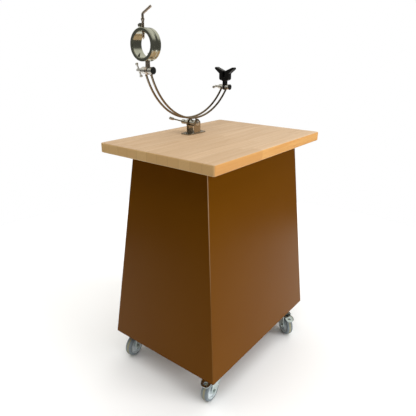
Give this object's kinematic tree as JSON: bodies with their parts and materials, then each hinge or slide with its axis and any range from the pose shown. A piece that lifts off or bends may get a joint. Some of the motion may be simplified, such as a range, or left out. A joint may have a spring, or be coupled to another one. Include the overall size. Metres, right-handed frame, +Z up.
{
  "type": "ham carving trolley",
  "caption": "Wheeled ham-carving stand: tapered brown steel cabinet on swivel castors, thick beech board, and a tilting stainless holder with a turning hoof ring and a V rest.",
  "frame": {"origin": "on the floor under the middle of the board and the castors", "axes": "+Z up, +X along the board's long side from the ring end to the rest end, -Y towards the braked castors"},
  "size_m": [0.616, 0.491, 1.1668],
  "materials": {
    "beech": "oiled, satin",
    "brown_coat": "powder coat, satin",
    "stainless": "polished stainless steel",
    "zinc": "bright zinc plate",
    "rim_plastic": "light grey nylon",
    "tyre_rubber": "grey rubber",
    "black_plastic": "black moulded plastic",
    "black_steel": "blackened steel"
  },
  "bodies": {
    "trolley": {"body_shell": "brown_coat", "board": "beech", "base_plate": "brown_coat", "door_hinge_lower": "zinc", "door_hinge_upper": "zinc", "magnetic_catch": "black_plastic", "base_bracket": "stainless", "foot_screw_left": "stainless", "foot_screw_right": "stainless", "pivot_bolt": "stainless", "castor_front_left_plate": "zinc", "castor_rear_left_plate": "zinc", "castor_front_right_plate": "zinc", "castor_rear_right_plate": "zinc"},
    "door": {"rear_door": "brown_coat", "door_knob": "zinc"},
    "holder": {"hub_tube": "stainless", "front_rod": "stainless", "rear_rod": "stainless", "ring_clamp_tube": "stainless", "ring_end_cap": "black_plastic", "rest_clamp_tube": "stainless", "rest_end_cap": "black_plastic"},
    "base_lever": {"clamp_lever": "stainless", "lever_knob": "stainless"},
    "ring_tee": {"ring_spindle": "stainless", "ring_tee_bar": "stainless"},
    "rest_tee": {"rest_spindle": "stainless", "rest_tee_bar": "stainless"},
    "ring_head": {"ring_post": "stainless", "ring_set_screw": "black_steel", "ring_housing": "stainless"},
    "ring_lock": {"ring_lock_screw": "stainless"},
    "hoof_ring": {"turning_ring": "stainless", "retaining_ring": "stainless", "grip_spike_front": "stainless", "grip_spike_rear": "stainless"},
    "bone_point": {"screw_point": "stainless"},
    "bone_screw": {"clamp_screw": "stainless", "bent_handle": "stainless"},
    "leg_rest": {"v_rest": "black_plastic", "rest_set_screw": "black_steel"},
    "castor_front_left": {"castor_front_left_fork": "zinc", "castor_front_left_axle": "zinc"},
    "castor_front_left_wheel": {"castor_front_left_rim": "rim_plastic", "castor_front_left_tyre": "tyre_rubber"},
    "castor_front_left_brake": {"castor_front_left_pedal": "zinc"},
    "castor_rear_left": {"castor_rear_left_fork": "zinc", "castor_rear_left_axle": "zinc"},
    "castor_rear_left_wheel": {"castor_rear_left_rim": "rim_plastic", "castor_rear_left_tyre": "tyre_rubber"},
    "castor_front_right": {"castor_front_right_fork": "zinc", "castor_front_right_axle": "zinc"},
    "castor_front_right_wheel": {"castor_front_right_rim": "rim_plastic", "castor_front_right_tyre": "tyre_rubber"},
    "castor_front_right_brake": {"castor_front_right_pedal": "zinc"},
    "castor_rear_right": {"castor_rear_right_fork": "zinc", "castor_rear_right_axle": "zinc"},
    "castor_rear_right_wheel": {"castor_rear_right_rim": "rim_plastic", "castor_rear_right_tyre": "tyre_rubber"}
  },
  "joints": [
    {"name": "castor_front_left_swivel", "type": "hinge", "parent": "trolley", "child": "castor_front_left", "pos_m": [-0.225, -0.176, 0.0885], "axis": [0, 0, 1], "continuous": true},
    {"name": "castor_front_left_roll", "type": "hinge", "parent": "castor_front_left", "child": "castor_front_left_wheel", "pos_m": [-0.26091, -0.17851, 0.0375], "axis": [0.0698, -0.9976, 0], "continuous": true},
    {"name": "castor_front_left_brake", "type": "hinge", "parent": "castor_front_left", "child": "castor_front_left_brake", "pos_m": [-0.25892, -0.17837, 0.0805], "axis": [0.0698, -0.9976, 0], "range_deg": [0, 8]},
    {"name": "castor_rear_left_swivel", "type": "hinge", "parent": "trolley", "child": "castor_rear_left", "pos_m": [-0.225, 0.176, 0.0885], "axis": [0, 0, 1], "continuous": true},
    {"name": "castor_rear_left_roll", "type": "hinge", "parent": "castor_rear_left", "child": "castor_rear_left_wheel", "pos_m": [-0.26065, 0.17099, 0.0375], "axis": [0.1392, -0.9903, 0], "continuous": true},
    {"name": "castor_front_right_swivel", "type": "hinge", "parent": "trolley", "child": "castor_front_right", "pos_m": [0.216, -0.176, 0.0885], "axis": [0, 0, 1], "continuous": true},
    {"name": "castor_front_right_roll", "type": "hinge", "parent": "castor_front_right", "child": "castor_front_right_wheel", "pos_m": [0.19692, -0.20653, 0.0375], "axis": [0.848, -0.5299, 0], "continuous": true},
    {"name": "castor_front_right_brake", "type": "hinge", "parent": "castor_front_right", "child": "castor_front_right_brake", "pos_m": [0.19798, -0.20483, 0.0805], "axis": [0.848, -0.5299, 0], "range_deg": [0, 8]},
    {"name": "castor_rear_right_swivel", "type": "hinge", "parent": "trolley", "child": "castor_rear_right", "pos_m": [0.216, 0.176, 0.0885], "axis": [0, 0, 1], "continuous": true},
    {"name": "castor_rear_right_roll", "type": "hinge", "parent": "castor_rear_right", "child": "castor_rear_right_wheel", "pos_m": [0.2005, 0.20849, 0.0375], "axis": [-0.9026, -0.4305, 0], "continuous": true},
    {"name": "door_hinge", "type": "hinge", "parent": "trolley", "child": "door", "pos_m": [0.20075, 0.22098, 0.10039], "axis": [0, 0.1104, -0.9939], "range_deg": [0, 110]},
    {"name": "holder_tilt", "type": "hinge", "parent": "trolley", "child": "holder", "pos_m": [0, 0.103, 0.8212], "axis": [0, 1, 0], "range_deg": [-25, 25]},
    {"name": "base_lever_turn", "type": "hinge", "parent": "trolley", "child": "base_lever", "pos_m": [0, 0.103, 0.8212], "axis": [0, 1, 0], "range_deg": [-35, 60]},
    {"name": "ring_tee_turn", "type": "hinge", "parent": "holder", "child": "ring_tee", "pos_m": [-0.207, 0.103, 0.9958], "axis": [0, 1, 0], "range_deg": [-180, 180]},
    {"name": "rest_tee_turn", "type": "hinge", "parent": "holder", "child": "rest_tee", "pos_m": [0.1785, 0.103, 0.9295], "axis": [0, 1, 0], "range_deg": [-180, 180]},
    {"name": "ring_tilt", "type": "hinge", "parent": "holder", "child": "ring_head", "pos_m": [-0.207, 0.103, 0.9958], "axis": [0, 1, 0], "range_deg": [-25, 25]},
    {"name": "ring_lock_turn", "type": "hinge", "parent": "ring_head", "child": "ring_lock", "pos_m": [-0.2035, 0.12724, 1.10873], "axis": [0, 0.4848, 0.8746], "range_deg": [-180, 180]},
    {"name": "ring_turn", "type": "hinge", "parent": "ring_head", "child": "hoof_ring", "pos_m": [-0.23, 0.103, 1.065], "axis": [1, 0, 0], "range_deg": [-120, 120]},
    {"name": "bone_screw_travel", "type": "slide", "parent": "hoof_ring", "child": "bone_point", "axis": [0, 0, 1], "range_m": [-0.016, 0.008]},
    {"name": "bone_screw_turn", "type": "hinge", "parent": "bone_point", "child": "bone_screw", "pos_m": [-0.22, 0.103, 1.065], "axis": [0, 0, 1], "range_deg": [-4610, 2306]},
    {"name": "rest_tilt", "type": "hinge", "parent": "holder", "child": "leg_rest", "pos_m": [0.1785, 0.103, 0.9295], "axis": [0, 1, 0], "range_deg": [-20, 20]}
  ],
  "couplings": [
    {"joint": "bone_screw_turn", "follows": "bone_screw_travel", "rad_per_m": 5026.5}
  ]
}
